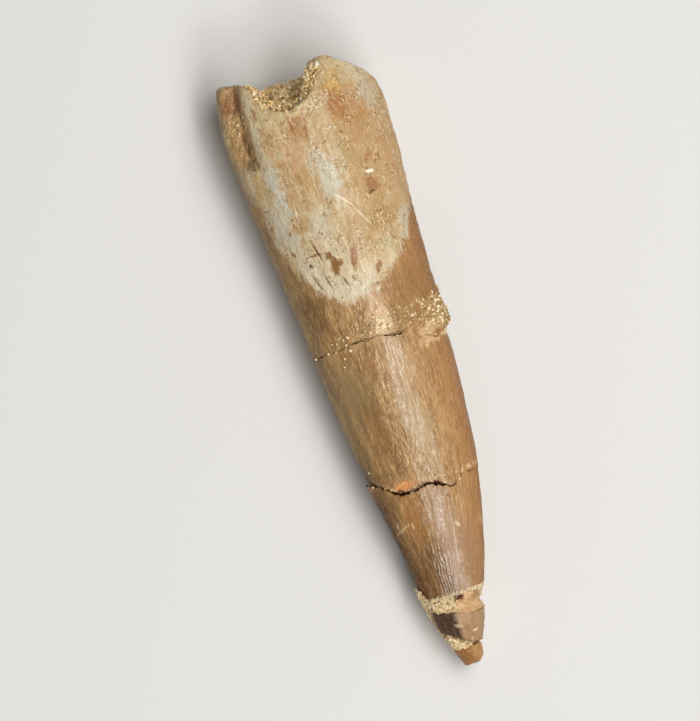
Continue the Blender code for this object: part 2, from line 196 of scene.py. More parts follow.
def places(start):  # the tooth's own coordinates, alike in a material and in relief
    if start.tree.type == "SHADER":
        metres = start.add("ShaderNodeTexCoord", output="Object")
    else:
        metres = start.add("GeometryNodeInputPosition")
    spot = metres.vectors("SCALE", 1000.0, "Scale")
    x, y, z = [start.add("ShaderNodeSeparateXYZ", {}, {"Vector": spot}, k) for k in range(3)]
    distance = x + (tooth["rootEnd"] - 1000 * cadLow.x)
    drift = rise(distance, tooth["tipDriftFrom"], tooth["tipDriftTo"]) * tooth["tipDrift"]
    axisZ = tooth["axisHeight"] - distance * distance * tooth["axisSink"]
    turn = start.math("ARCTAN2", y - tooth["axisSide"] + drift, z - axisZ)
    side = start.math("SINE", turn) * tooth["patternRadius"]
    top = start.math("COSINE", turn) * tooth["patternRadius"]
    return SimpleNamespace(
        spot=spot, distance=distance, y=y, z=z, up=z - axisZ,
        degrees=turn * (180 / math.pi), side=side, top=top,
        skin=vector(distance, side, top),
    )


def fibres(w, along, across, detail, roughness, seed):  # noise with lumps drawn out along the tooth
    place = vector(w.distance / along, w.side / across, w.top / across)
    return noise(place, 1.0, detail, roughness, seed)


def wobbles(w, size, amount, seed):  # two noises that bend the outlines of marks
    return [noise(w.spot, size, 3.0, 0.65, seed + k) * amount for k in (0.0, 0.5)]


# A mark is a distance along the tooth, a place across, half its length, half its width and a turn in
# degrees, and where it is painted its colour and its strength as well.
def spotMask(w, mark, wobble, softness):  # a blot on the upper side
    distance, place, halfLength, halfWidth, degrees = mark[:5]
    turn = math.radians(degrees)
    far = w.distance - distance + wobble[0]
    wide = w.y - place + wobble[1]
    long = (far * math.cos(turn) + wide * math.sin(turn)) / halfLength
    across = (wide * math.cos(turn) - far * math.sin(turn)) / halfWidth
    reach = (long * long + across * across).power(0.5)
    return (1 - rise(reach, 1 - softness, 1 + softness)) * rise(w.up, 0.0, 0.5)


def paint(colour, w, marks, wobble, softness):  # marks painted one over the other
    for mark in marks:
        colour = mix(colour, mark[5], spotMask(w, mark, wobble, softness) * mark[6])
    return colour


def chosen(piece):
    bpy.ops.object.select_all(action="DESELECT")
    piece.select_set(True)
    bpy.context.view_layer.objects.active = piece


def applied(piece, kind, name, **settings):
    modifier = piece.modifiers.new(name, kind)
    for key, value in settings.items():
        setattr(modifier, key, value)
    chosen(piece)
    bpy.ops.object.modifier_apply(modifier=modifier.name)
    return piece


def newObject(name, data):
    made = bpy.data.objects.new(name, data)
    bpy.context.scene.collection.objects.link(made)
    return made


def copyOfNode(node, name, sharp=50.0, crease=0.9):  # a fine copy of one CAD solid, for the relief
    piece = newObject(name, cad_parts[node].data.copy())
    piece.data.materials.clear()
    chosen(piece)
    if piece.data.has_custom_normals:
        bpy.ops.mesh.customdata_custom_splitnormals_clear()
    bpy.ops.object.mode_set(mode="EDIT")
    bpy.ops.mesh.select_mode(type="EDGE")
    bpy.ops.mesh.select_all(action="SELECT")
    bpy.ops.mesh.remove_doubles(threshold=0.002 * mm)
    bpy.ops.mesh.mark_sharp(clear=True)
    bpy.ops.mesh.tris_convert_to_quads(face_threshold=math.radians(50), shape_threshold=math.radians(70))
    bpy.ops.mesh.select_all(action="DESELECT")
    bpy.ops.mesh.edges_select_sharp(sharpness=math.radians(sharp))
    bpy.ops.object.mode_set(mode="OBJECT")
    creases = piece.data.attributes.new("crease_edge", "FLOAT", "EDGE")
    creases.data.foreach_set("value", [crease * edge.select for edge in piece.data.edges])
    applied(piece, "SUBSURF", "round", levels=tooth["rounding"], render_levels=tooth["rounding"])
    piece.data.shade_smooth()
    return piece


def geometryTree(name):
    tree = bpy.data.node_groups.new(name, "GeometryNodeTree")
    for way in ("INPUT", "OUTPUT"):
        tree.interface.new_socket(name="Geometry", in_out=way, socket_type="NodeSocketGeometry")
    start = Wire(tree)
    return tree, start, start.add("NodeGroupInput")


def stored(geometry, domain, name, value):  # keeps a number for the material to read
    settings = {"data_type": "FLOAT", "domain": domain}
    values = {"Geometry": geometry, "Name": name, "Value": value}
    return geometry.add("GeometryNodeStoreNamedAttribute", settings, values)


# Moves the skin by Geometry Nodes: build gives how far outward and along the tooth, in millimetres.
def relief(piece, build):
    tree, start, inside = geometryTree(piece.name + "Relief")
    normal = start.add("GeometryNodeInputNormal")
    w = places(start)
    outward = vector(0.0, w.side / tooth["patternRadius"], w.top / tooth["patternRadius"])
    facing = normal.vectors("DOT_PRODUCT", outward, output="Value")
    w.outer = rise(facing, 0.2, 0.55)  # 1 on the skin, 0 on the broken faces
    inside = stored(inside, "POINT", "broken", 1 - w.outer)
    out, along = build(w)
    out = out * rise(w.z, 0.0, tooth["flatBelow"])
    lifted = normal.vectors("SCALE", out * mm, "Scale")
    offset = lifted.vectors("ADD", vector(along * mm, 0.0, 0.0))
    moved = start.add("GeometryNodeSetPosition", {}, {"Geometry": inside, "Offset": offset})
    start.add("NodeGroupOutput", {}, {"Geometry": moved})
    return applied(piece, "NODES", "relief", node_group=tree)


def newMaterial(name, look):  # look gives the values and links of the shader's own sockets
    made = bpy.data.materials.new(name)
    made.use_nodes = True
    made.node_tree.nodes.clear()
    start = Wire(made.node_tree)
    shader = start.add("ShaderNodeBsdfPrincipled", {}, look(start))
    start.add("ShaderNodeOutputMaterial", {}, {"Surface": shader})
    return made


def bumped(height):  # height in millimetres
    return height.add("ShaderNodeBump", {}, {"Height": height * mm, "Distance": 1.0})


def readAttribute(start, name):
    return start.add("ShaderNodeAttribute", {"attribute_name": name}, output="Fac")


def settle(piece, material, slot, *nodes):  # the piece gets its finish and rides on the tooth
    piece.data.materials.clear()
    piece.data.materials.append(material)
    if nodes:
        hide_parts(*nodes)
    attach(piece, "root")
    print(piece.name, "made:", len(piece.data.polygons), "faces")
    return piece


def dress(node, name, build, material, slot, *edges):  # a fragment, in place of its solid
    return settle(relief(copyOfNode(node, name, *edges), build), material, slot, node)


# Breaks
breaks = {
    "gap": 0.3,  # between the CAD solids
    "upperGap": (
        (-6.5, 0.1), (-5.2, 0.08), (-4.2, 0.0), (-2.6, 0.0), (-2.0, 0.06), (0.0, 0.05), (1.6, 0.06),
        (2.4, 0.05), (3.0, 0.0), (6.5, 0.0),
    ),
    "upperPath": (  # how far the photographed break is from the solids' one, across the tooth
        (-6.5, 0.0), (-2.3, -0.2), (-0.3, -0.3), (1.3, 0.0), (3.2, 0.1), (3.9, 0.4), (4.5, 0.1), (6.5, 0.0),
    ),
    "middleGap": (
        (-5.2, 0.25), (-4.4, 0.2), (-3.6, 0.18), (-3.0, 0.34), (-2.4, 0.48), (-1.6, 0.38), (-0.6, 0.26),
        (0.2, 0.38), (0.7, 0.46), (1.3, 0.28), (2.2, 0.2), (2.7, 0.15), (3.0, -0.04), (5.2, -0.04),
    ),
    "middlePath": (
        (-5.2, 0.15), (-4.0, 0.05), (-2.8, 0.1), (-2.0, 0.08), (-0.7, 0.15), (0.0, -0.12), (0.9, 0.0),
        (1.8, 0.15), (2.3, 0.4), (2.8, 0.2), (3.3, 0.0), (5.2, -0.1),
    ),
    "lowerPath": ((-5, 0.0), (0.0, 0.1), (5, 0.0)),
    "lowerGap": 0.02,
    "raggedness": (0.3, 0.6),  # at the upper break and at the other two
}


def breakShift(w, path, gap, side, seed, near, far, place=1):  # moves an end to the photographed break
    ragged = noise(w.spot, 0.5, 4.0, 0.75, seed) * breaks["raggedness"][place]
    opened = (breaks["gap"] - gap) * (side / 2)
    return (curveOver(w.y, path) + opened + ragged) * rise(w.distance, near, far)


def upperShift(w, side, seed, near, far):
    gap = curveOver(w.y, breaks["upperGap"])
    return breakShift(w, breaks["upperPath"], gap, side, seed, near, far, 0)


def middleShift(w, side, seed, near, far):
    gap = curveOver(w.y, breaks["middleGap"])
    return breakShift(w, breaks["middlePath"], gap, side, seed, near, far)


# Root
root = {
    "lumps": 0.2,
    "grain": 0.06,
    "groove": {"degrees": -63.0, "turn": 0.5, "reach": 21.0, "end": 9.0},
    "ridge": {"degrees": -42.5, "reach": 6.5, "end": 9.5},  # the pale ridge on the groove's right
    "tongue": (  # where the pale root ends, by the degrees round from the top
        (-180, 18), (-120, 12), (-95, 10), (-80, 11), (-73, 12.3), (-66, 15.9), (-51, 18.7), (-39, 20.5),
        (-25, 21.7), (-14, 22.3), (0, 22.1), (11, 21.6), (31, 20.5), (50, 18.8), (65, 17.0), (79, 15.3),
        (100, 14), (140, 16), (180, 18),
    ),
    "beige": rgb(200, 167, 120),
    "pink": rgb(200, 156, 120),
    "cream": rgb(216, 196, 154),
    "ochre": rgb(176, 134, 80),
    "dashes": rgb(140, 96, 54),
    "specks": rgb(128, 88, 50),
    "flecks": rgb(240, 222, 180),
    "grey": rgb(180, 168, 130),
    "white": rgb(226, 213, 182),
    # painted shade for the left side
    "flankShade": rgb(150, 112, 68),
    "brokenFace": rgb(214, 190, 148),
    "grooveFloor": rgb(206, 162, 110),
    "grooveDark": rgb(146, 104, 62),
    "grooveRed": rgb(184, 122, 90),
    "grooveGold": rgb(246, 216, 156),
    "horn": rgb(226, 180, 132),
    "ridgePale": rgb(214, 205, 172),
    "crust": rgb(190, 152, 100),
    "crustPale": rgb(240, 214, 164),
    "chip": rgb(218, 182, 134),
    "under": rgb(160, 126, 76),  # between the grains
    "speckled": (rgb(222, 192, 142), rgb(124, 84, 48)),  # above the upper break
    "grooveRough": 0.4,  # depths of the relief
    "crustRough": 0.45,
    "snapped": 0.5,
    "crackDepth": 0.08,
    "pitDepth": 0.06,
    "pits": (0.7, 0.2, 2.4, 6.0),  # how far apart, how wide, how large their patches are, and a seed
}
stain = {
    "orange": rgb(172, 118, 66),
    "rust": rgb(150, 92, 54),
    "olive": rgb(104, 86, 50),
    "bark": rgb(140, 96, 50),
    "crack": rgb(78, 48, 28),
    "chalk": rgb(252, 240, 214),
    "ice": rgb(207, 203, 182),
    "shadow": rgb(112, 80, 46),
    "gold": rgb(222, 182, 112),
}
root["stains"] = (  # soft blots
    (8.5, 3.6, 5.5, 1.5, 4, root["ochre"], 0.5),
    (9.0, 6.2, 7.0, 0.9, 0, rgb(192, 146, 98), 0.6),
    (1.5, 5.2, 1.6, 1.1, 25, root["cream"], 0.8),
    (4.2, 6.0, 2.2, 0.8, 8, stain["ice"], 0.5),
    (4.8, 3.2, 2.2, 1.0, 12, stain["orange"], 0.9),
    (2.9, 3.5, 0.8, 0.7, 10, stain["gold"], 0.8),
    (6.2, 4.9, 1.8, 0.7, 8, stain["orange"], 0.5),
    (12.0, -1.8, 2.4, 1.6, 0, root["ochre"], 0.35),
    (5.6, -0.6, 1.5, 0.75, 6, stain["orange"], 0.6),
    (7.6, -1.9, 1.6, 0.9, 0, root["pink"], 0.6),
    (2.6, -2.3, 0.5, 0.9, -20, rgb(196, 142, 122), 0.7),
    (4.3, 0.3, 0.45, 1.9, 3, root["cream"], 0.85),
    (4.2, -3.4, 1.3, 0.6, 8, root["cream"], 0.5),
    (10.8, -4.3, 2.6, 0.5, 4, stain["ice"], 0.9),
    (14.2, -4.9, 2.6, 0.8, 10, stain["ice"], 0.7),
    (10.6, 0.3, 2.6, 0.9, 8, stain["ice"], 0.8),
    (14.6, -1.7, 1.6, 0.9, 5, stain["ice"], 0.6),
    (18.8, -3.4, 2.2, 1.0, 22, root["white"], 0.8),
    (17.8, -1.3, 1.8, 1.8, 0, root["white"], 0.5),
    (21.0, -0.5, 1.2, 2.4, 0, root["white"], 0.8),
    (17.6, 5.3, 2.4, 0.35, -20, stain["ice"], 0.8),
    (9.9, -6.9, 1.9, 0.4, 2, stain["ice"], 0.7),
    (12.6, -6.3, 1.5, 0.3, 8, stain["orange"], 0.8),
    (10.5, 4.6, 0.6, 0.6, 0, stain["orange"], 0.7),
    (12.6, 3.9, 0.7, 0.4, 20, stain["rust"], 0.7),
    (15.4, 4.1, 1.6, 1.1, 0, root["ochre"], 0.6),
    (16.7, 1.9, 1.7, 1.2, 0, root["ochre"], 0.4),
)
root["grooveMarks"] = (  # at the groove's lower end
    (7.8, -5.6, 0.55, 0.6, -25, stain["olive"], 0.6),
    (6.2, -5.5, 1.5, 0.3, 8, stain["shadow"], 0.6),
)
root["marks"] = (  # small sharp marks
    (5.6, -1.3, 1.1, 0.12, 8, stain["rust"], 0.6),
    (6.4, -0.2, 0.7, 0.14, -4, stain["rust"], 0.7),
    (5.2, 0.0, 0.6, 0.1, 10, stain["rust"], 0.5),
    (3.6, -4.1, 0.7, 0.12, 6, stain["rust"], 0.7),
    *root["grooveMarks"],
    (17.6, -1.75, 0.42, 0.32, 30, stain["bark"], 0.95),
    (18.65, -1.45, 0.8, 0.36, -8, stain["bark"], 0.95),
    (18.5, -1.0, 0.3, 0.26, -8, stain["bark"], 0.9),
    (18.4, 0.35, 1.1, 0.27, -14, stain["rust"], 0.8),
    (19.9, 2.2, 0.6, 0.24, -20, stain["rust"], 0.8),
    (21.3, 1.65, 0.18, 0.35, 15, stain["rust"], 0.8),
    (17.15, -3.0, 0.09, 0.8, -4, stain["rust"], 0.8),
    (13.3, 3.75, 0.12, 0.3, 20, stain["crack"], 0.8),
)
root["cracks"] = (  # open cracks and pits, cut into the skin as well
    (16.95, -2.62, 0.95, 0.09, 14, stain["crack"], 0.9),
    (16.5, -4.75, 0.35, 0.1, 30, stain["rust"], 0.8),
    (18.0, -3.55, 0.22, 0.16, 40, stain["crack"], 0.8),
    (19.6, -3.45, 0.75, 0.08, 18, stain["crack"], 0.75),
    (19.75, -2.5, 0.8, 0.08, 12, stain["crack"], 0.75),
    (20.2, -1.0, 0.5, 0.09, 20, stain["crack"], 0.75),
)
root["scratches"] = (
    (13.2, 1.1, 0.95, 0.055, 41, stain["chalk"], 0.9),
    (15.0, 2.2, 1.25, 0.045, 26, stain["chalk"], 0.6),
    (11.5, 4.1, 0.16, 0.36, -10, stain["chalk"], 1.0),
    (12.9, -3.3, 1.1, 0.07, -6, stain["chalk"], 0.3),
)
breaks["upperLine"] = (  # where the upper break is seen, by the place across
    (-6.3, 26.1), (-5.76, 26.04), (-3.69, 25.78), (-2.32, 25.67), (-0.26, 25.73), (1.28, 25.96),
    (2.23, 25.94), (3.22, 26.13), (3.93, 26.84), (5.34, 27.2), (6.5, 27.6),
)
root["shoulder"] = (  # on the enamel between the tongue and the upper break
    # the first two are pale patches along the lit top: partly paler enamel, partly painted highlight
    (23.2, 0.8, 1.9, 0.9, 6, rgb(216, 178, 138), 0.7),
    (24.8, 0.9, 0.9, 1.1, 0, rgb(228, 194, 154), 0.6),
    (22.9, 4.2, 2.3, 1.9, 0, rgb(150, 110, 64), 0.6),
    (24.4, 2.9, 1.0, 0.9, 0, rgb(158, 116, 70), 0.5),
    (22.0, -4.6, 2.0, 0.8, 10, rgb(120, 88, 54), 0.6),
)
root["notchLine"] = (  # where the filling of the notch ends, by the place across
    (-4.3, 0.6), (-3.87, 1.2), (-3.7, 2.2), (-3.3, 2.9), (-2.4, 3.65), (-1.5, 4.1), (-0.8, 3.8), (0.3, 3.7),
    (1.35, 3.1), (1.8, 2.5), (2.45, 1.6), (2.9, 0.85), (3.3, 0.2),
)
root["crustLine"] = ((-6.5, 25.0), (2.4, 25.2), (3.7, 25.6), (4.6, 25.95), (5.6, 26.5), (6.5, 26.9))
breaks["middleLine"] = (
    (-5.2, 38.3), (-4.39, 38.49), (-3.73, 38.78), (-3.02, 39.2), (-2.02, 39.8), (-0.74, 39.78),
    (0.04, 39.58), (0.85, 39.85), (1.82, 40.26), (2.25, 40.59), (2.96, 40.1), (3.93, 39.4), (5.2, 39.3),
)


def grooveMask(w):
    groove = root["groove"]
    middle = w.distance * groove["turn"] + groove["degrees"]
    ending = 1 - rise(w.distance, groove["end"] - 1.5, groove["end"])
    return hill(w.degrees - middle, 0.0, groove["reach"]) * ending


def notchMask(w):  # the broken faces round the notch, which the filling covers
    short = curveOver(w.y, root["notchLine"]) - w.distance + noise(w.spot, 0.6, 3.0, 0.6, 32.0) * 0.4
    corner = rise(w.y, 1.3, 1.8) * (1 - rise(w.distance, 0.8, 1.2))
    above = rise(w.y, -4.25, -4.0) * rise(w.up, 0.0, 1.0)
    return rise(short, -0.12, 0.12) * above * (1 - corner)


def crustMask(w):  # the sand stuck on the right, about the upper break
    edge = noise(w.spot, 0.9, 4.0, 0.7, 31.0)
    around = rise(w.degrees + edge * 55, 34.0, 58.0) * (1 - rise(w.degrees, 108.0, 122.0))
    past = w.distance - curveOver(w.y, root["crustLine"])
    return around * rise(w.distance + edge * 3, 23.2, 24.4) * (1 - rise(past + edge, -0.1, 0.2))


def crustHeight(w):
    return crustMask(w) * (noise(w.spot, 0.5, 3.0, 0.65, 8.0) * root["crustRough"] + 0.05)


def cracks(w, marks, seed):
    wobble = wobbles(w, 0.4, 0.12, seed)
    depth = 0.0
    for mark in marks:
        depth = spotMask(w, mark, wobble, 0.5) + depth
    return depth


def rootRelief(w):
    lumps = noise(w.skin, 1.6, 4.0, 0.65, 3.0) * root["lumps"]
    fine = fibres(w, 0.8, 0.45, 3.0, 0.6, 5.0) * root["grain"]
    groove = grooveMask(w) * (noise(w.spot, 0.5, 3.0, 0.65, 7.0) * root["grooveRough"] - 0.04)
    cut = cracks(w, root["cracks"], 9.0) * root["crackDepth"] + pits(w, *root["pits"]) * root["pitDepth"]
    faces = (1 - w.outer) * (1 - rise(w.distance, 8.0, 9.0))  # the broken faces at the root's end
    snapped = faces * noise(w.spot, 0.7, 4.0, 0.7, 33.0) * root["snapped"]
    return lumps + fine + groove + crustHeight(w) + snapped - cut, upperShift(w, 1.0, 11.0, 23.4, 25.3)


enamel = {  # pairs are dull and bright patches
    "left": (rgb(150, 112, 68), rgb(190, 148, 96)),
    "leftLow": (rgb(112, 76, 38), rgb(142, 100, 56)),
    "right": (rgb(172, 130, 84), rgb(194, 152, 102)),
    "rightLow": rgb(178, 138, 98),
    # the right side: the enamel's orange, darkened towards the edge as painted shade
    "rightFlankOrangeAndShade": rgb(170, 118, 66),
    "rightEdgeShade": rgb(144, 98, 52),
    # painted shade: browns for the left side, away from the light
    "leftEdgeShade": (rgb(144, 112, 70), rgb(178, 144, 94)),
    "leftEdgeShadeLow": (rgb(82, 48, 14), rgb(112, 70, 24)),
    "streak": rgb(118, 80, 42),
    "dashDark": rgb(112, 76, 42),
    "dashPale": rgb(216, 178, 128),
    "fleckDark": rgb(108, 74, 42),
    "fleckPale": rgb(240, 216, 180),
    "lumps": 0.12,
    "fibres": 0.05,
}


def crownColour(w):  # the brown enamel, alike on the three fragments that have it
    mottle = fibres(w, 2.6, 1.2, 4.0, 0.7, 41.0)
    streak = fibres(w, 4.0, 0.35, 4.0, 0.65, 42.0)
    dash = fibres(w, 0.9, 0.2, 3.0, 0.7, 43.0)
    fleck = fibres(w, 0.5, 0.15, 2.0, 0.6, 44.0)
    tone = rise(mottle, -0.25, 0.25)
    low = rise(w.distance, 41.0, 49.0)
    glint = 0.35 + hill(w.degrees, 2.0, 44.0) * 0.65  # painted glints: the pale and dark flecks are strongest along the lit band on top, fainter towards the flanks
    left = mix(mix(*enamel["left"], tone), mix(*enamel["leftLow"], tone), low)
    right = mix(mix(*enamel["right"], tone), enamel["rightLow"], low)
    colour = mix(left, right, rise(w.y + streak * 0.9, -1.9, 1.0))
    # partly the enamel's own orange, partly painted shade: darker towards the right side
    colour = mix(colour, enamel["rightFlankOrangeAndShade"], rise(w.degrees + streak * 16, 26.0, 62.0) * 0.8)
    colour = mix(colour, enamel["streak"], rise(streak, 0.04, 0.26) * 0.45)
    # painted shade: the left side darkened towards its edge, more so towards the tip
    lower = rise(w.distance, 31.0, 42.0)
    dark = mix(mix(*enamel["leftEdgeShade"], tone), mix(*enamel["leftEdgeShadeLow"], tone), lower)
    colour = mix(colour, dark, (1 - rise(w.degrees + streak * 14, -72.0, -38.0)) * 0.9)
    # painted shade: darker still at the right edge
    colour = mix(colour, enamel["rightEdgeShade"], rise(w.degrees + streak * 10, 62.0, 84.0) * 0.8)
    for kind, pattern, low, high, share in (
        ("dashDark", dash, 0.04, 0.26, 0.5),
        ("dashPale", dash, -0.08, -0.3, 0.45),
        ("fleckPale", fleck, 0.1, 0.3, 0.6),
        ("fleckDark", fleck, -0.1, -0.3, 0.45),
    ):
        colour = mix(colour, enamel[kind], rise(pattern, low, high) * glint * share)
    return colour, streak, dash, fleck


def edgeOf(w, line, seed):  # how far past a break's line, in millimetres along the tooth
    return w.distance - curveOver(w.y, line) + noise(w.spot, 0.3, 2.0, 0.6, seed) * 0.08


def rootLook(start):
    w = places(start)
    wobble = wobbles(w, 0.9, 1.6, 2.0)
    fineWobble = wobbles(w, 0.3, 0.35, 4.0)
    thinWobble = wobbles(w, 0.4, 0.12, 9.0)
    mottle = fibres(w, 2.4, 1.2, 4.0, 0.7, 1.0)
    patch = noise(w.skin, 2.2, 4.0, 0.7, 14.0)
    blush = fibres(w, 2.6, 1.6, 3.0, 0.6, 13.0)
    grain = noise(w.spot, 0.5, 4.0, 0.7, 12.0)
    dashes = fibres(w, 0.9, 0.25, 3.0, 0.7, 15.0)
    flecks = fibres(w, 0.35, 0.22, 2.0, 0.6, 16.0)
    lines = fibres(w, 4.0, 0.09, 1.0, 0.5, 20.0)
    grit = noise(w.spot, 0.2, 3.0, 0.7, 18.0)
    speck = rise(noise(w.skin, 1.7, 3.0, 0.6, 19.0), -0.02, 0.2)  # where the skin is freckled
    colour = mix(root["beige"], root["cream"], rise(mottle, 0.0, 0.25) * 0.85)
    colour = mix(colour, root["pink"], rise(blush, 0.05, 0.3) * 0.35)
    colour = mix(colour, root["ochre"], rise(patch, 0.02, 0.3) * 0.75)
    colour = mix(colour, root["grey"], rise(patch, -0.05, -0.3) * 0.5)
    white = rise(w.distance + wobble[0], 17.0, 20.5) * rise(mottle, -0.3, 0.15)
    colour = mix(colour, root["white"], white * 0.6)
    colour = paint(colour, w, root["stains"], wobble, 0.65)
    for kind, pattern, low, high, least, more in (
        ("dashes", dashes, 0.06, 0.3, 0.14, 0.36),
        ("dashes", grain, 0.06, 0.3, 0.12, 0.58),
        ("flecks", flecks, 0.08, 0.28, 0.12, 0.6),
        ("flecks", grit, 0.08, 0.28, 0.1, 0.5),
        ("specks", grit, -0.08, -0.28, 0.12, 0.5),
    ):
        colour = mix(colour, root[kind], rise(pattern, low, high) * (least + speck * more))
    colour = mix(colour, root["flecks"], rise(lines, 0.3, 0.5) * 0.5)
    colour = mix(colour, root["dashes"], pits(w, *root["pits"]) * 0.8)
    ridge = root["ridge"]
    onRidge = hill(w.degrees + grain * 14 + mottle * 8, ridge["degrees"], ridge["reach"]) * (0.75 + grain)
    onRidge = onRidge * (1 - rise(w.distance, ridge["end"] - 3, ridge["end"]))
    colour = mix(colour, root["ridgePale"], onRidge * 0.9)
    # painted shade: the left side darkened towards its edge, more so past the first few millimetres
    flankShade = rise(w.degrees, -62.0, -84.0) * (0.25 + rise(w.distance, 4.0, 9.0) * 0.5)
    colour = mix(colour, root["flankShade"], flankShade)
    colour = paint(colour, w, root["marks"], fineWobble, 0.35)
    shoulder = paint(crownColour(w)[0], w, root["shoulder"], wobble, 0.65)
    feather = fibres(w, 1.6, 0.45, 4.0, 0.7, 17.0) * 1.6 + wobble[0] * 0.9
    edge = w.distance - curveOver(w.degrees, root["tongue"]) + feather
    colour = mix(colour, shoulder, rise(edge, -0.45, 0.55))
    inGroove = rise(grooveMask(w) + grain * 0.6 + mottle * 0.5 + patch * 0.4, 0.28, 0.6)
    inGroove = inGroove * (1 - rise(w.distance + wobble[0] * 1.6, 7.0, 8.6))
    red = hill(w.distance + wobble[0], 2.4, 1.6) * rise(patch + grain, -0.3, 0.1)
    floor = mix(root["grooveFloor"], root["horn"], 1 - rise(w.distance + grain, 0.9, 1.4))
    floor = mix(mix(floor, root["grooveRed"], red), root["grooveDark"], rise(grain, 0.0, 0.25) * 0.65)
    gold = rise(grit, -0.02, -0.2) * (0.3 + hill(w.distance, 3.9, 2.0) * 0.7)
    floor = paint(mix(floor, root["grooveGold"], gold), w, root["grooveMarks"], fineWobble, 0.4)
    colour = mix(colour, floor, inGroove * 0.9)
    crust = rise(crustMask(w) + grain * 0.8, 0.35, 0.6)
    colour = mix(colour, mix(root["crust"], root["crustPale"], rise(grit, 0.0, 0.25)), crust * 0.85)
    colour = paint(colour, w, root["cracks"], thinWobble, 0.5)
    colour = paint(colour, w, root["scratches"], thinWobble, 0.4)
    past = edgeOf(w, breaks["upperLine"], 21.0)
    speckled = rise(past, -2.6, -1.2) * rise(w.y, -4.0, -1.5) * (1 - rise(past, -0.2, 0.0))
    colour = mix(colour, root["speckled"][0], speckled * rise(grit, 0.05, 0.25) * 0.7)
    colour = mix(colour, root["speckled"][1], speckled * rise(grit, -0.1, -0.3) * 0.6)
    chip = (26.4, 5.0, 0.5, 1.5, 24, root["chip"], 0.85)  # smooth and pale, under the sand crust
    colour = paint(colour, w, (chip,), fineWobble, 0.3)
    broken = readAttribute(start, "broken") * (1 - rise(w.distance, 8.0, 9.0))
    face = mix(root["brokenFace"], root["ochre"], rise(grain, -0.05, 0.2) * 0.8)
    face = mix(face, root["specks"], rise(grit, -0.08, -0.28) * 0.6)
    colour = mix(colour, face, broken * 0.9)
    line = hill(past, 0.0, 0.13) * rise(w.y, -2.6, -2.2) * (1 - rise(w.y, 2.4, 2.9))
    colour = mix(colour, stain["crack"], line * 0.65)
    colour = mix(colour, root["under"], notchMask(w))
    height = grain * 0.05 + dashes * 0.035 + flecks * 0.03 + grit * (0.03 + speck * 0.02)
    height = height + (inGroove * 0.06 + crust * 0.08 + speckled * 0.04) * grit
    rough = 0.46 - rise(edge, -0.5, 0.5) * 0.08 + inGroove * 0.15 + crust * 0.15 + grit * 0.25
    polish = hill(w.degrees, 5.0, 66.0) * (0.75 + grit * 1.5) * (1 - crust)
    return {
        "Base Color": colour, "Roughness": rough, "Normal": bumped(height), "IOR": 1.2,
        "Coat Weight": polish * 0.35, "Coat Roughness": 0.22,
    }


rootDentine = newMaterial("rootDentine", rootLook)
rootPiece = dress("root_section", "rootFragment", rootRelief, rootDentine, "root_dentine")

# Crown
crown = {
    "ridges": {"from": 43.5, "to": 48.0, "height": 0.035, "spacing": 5.2},  # spacing in degrees
    # painted shade for the troughs between the ridges, and painted glints for their crests
    "ridgeTroughShade": rgb(104, 70, 42),
    "ridgePale": rgb(246, 224, 200),
    # the broken faces: partly the dentine's own brown, partly painted shade that deepens the open gap
    "breakFaceAndGapShade": rgb(126, 82, 48),
    "edgeCream": rgb(238, 216, 174),
    "breakPale": rgb(232, 202, 158),
}
crown["stains"] = (
    (39.3, 1.2, 0.22, 0.5, -6, rgb(228, 200, 152), 0.7),
    (42.4, -1.9, 2.4, 0.9, 3, rgb(168, 116, 64), 0.65),
    (30.4, -3.4, 2.8, 1.4, 8, rgb(150, 126, 88), 0.75),
    (33.5, -2.4, 2.6, 0.9, 5, rgb(140, 98, 56), 0.5),
    (28.3, -1.3, 1.6, 0.6, 5, rgb(140, 96, 54), 0.5),
    # the next four are pale milky patches along the lit band on top: partly paler enamel, partly painted
    # highlight
    (28.8, 1.2, 2.4, 1.2, 5, rgb(198, 164, 124), 0.7),
    (34.2, 1.0, 4.0, 1.1, 3, rgb(196, 168, 130), 0.8),
    (43.4, 0.5, 3.4, 1.2, 3, rgb(190, 158, 128), 0.8),
    (48.0, 0.2, 2.2, 0.9, 0, rgb(216, 186, 164), 0.6),
    (47.0, 2.3, 3.0, 0.8, 8, rgb(168, 126, 92), 0.6),
    (27.1, 5.2, 0.5, 1.5, 22, rgb(222, 186, 138), 0.85),
    (38.9, -4.9, 0.5, 0.35, 0, rgb(190, 144, 118), 0.8),
)
crown["marks"] = (
    (39.3, -1.9, 0.4, 1.0, 8, rgb(222, 150, 88), 0.95),
    (39.1, -1.9, 0.12, 0.5, 8, rgb(246, 186, 126), 0.6),
    (43.0, -3.1, 0.14, 0.7, 22, rgb(226, 190, 140), 0.6),
    (42.6, -3.5, 0.3, 0.08, 0, rgb(240, 214, 170), 0.7),
    (42.9, -2.2, 0.3, 0.08, 0, rgb(240, 214, 170), 0.7),
    (44.0, 1.7, 0.25, 0.12, 20, rgb(245, 220, 180), 0.8),
    (44.3, 3.8, 0.5, 0.2, 10, rgb(206, 160, 100), 0.6),
    (37.2, 1.6, 0.25, 0.2, 10, rgb(232, 204, 160), 0.7),
    (31.7, -0.2, 0.14, 0.14, 0, rgb(238, 210, 168), 0.8),
    (30.2, -0.3, 0.12, 0.12, 0, rgb(238, 210, 168), 0.8),
)


def enamelRelief(w):  # what the crown's fragments have in common
    lumps = fibres(w, 2.6, 1.2, 4.0, 0.6, 3.0) * enamel["lumps"]
    return lumps + fibres(w, 3.0, 0.4, 2.0, 0.5, 5.0) * enamel["fibres"]


def middleRelief(w):
    upper = upperShift(w, -1.0, 13.0, 31.0, 28.4)
    middle = middleShift(w, 1.0, 17.0, 35.0, 37.3)
    return enamelRelief(w) + crustHeight(w), upper + middle


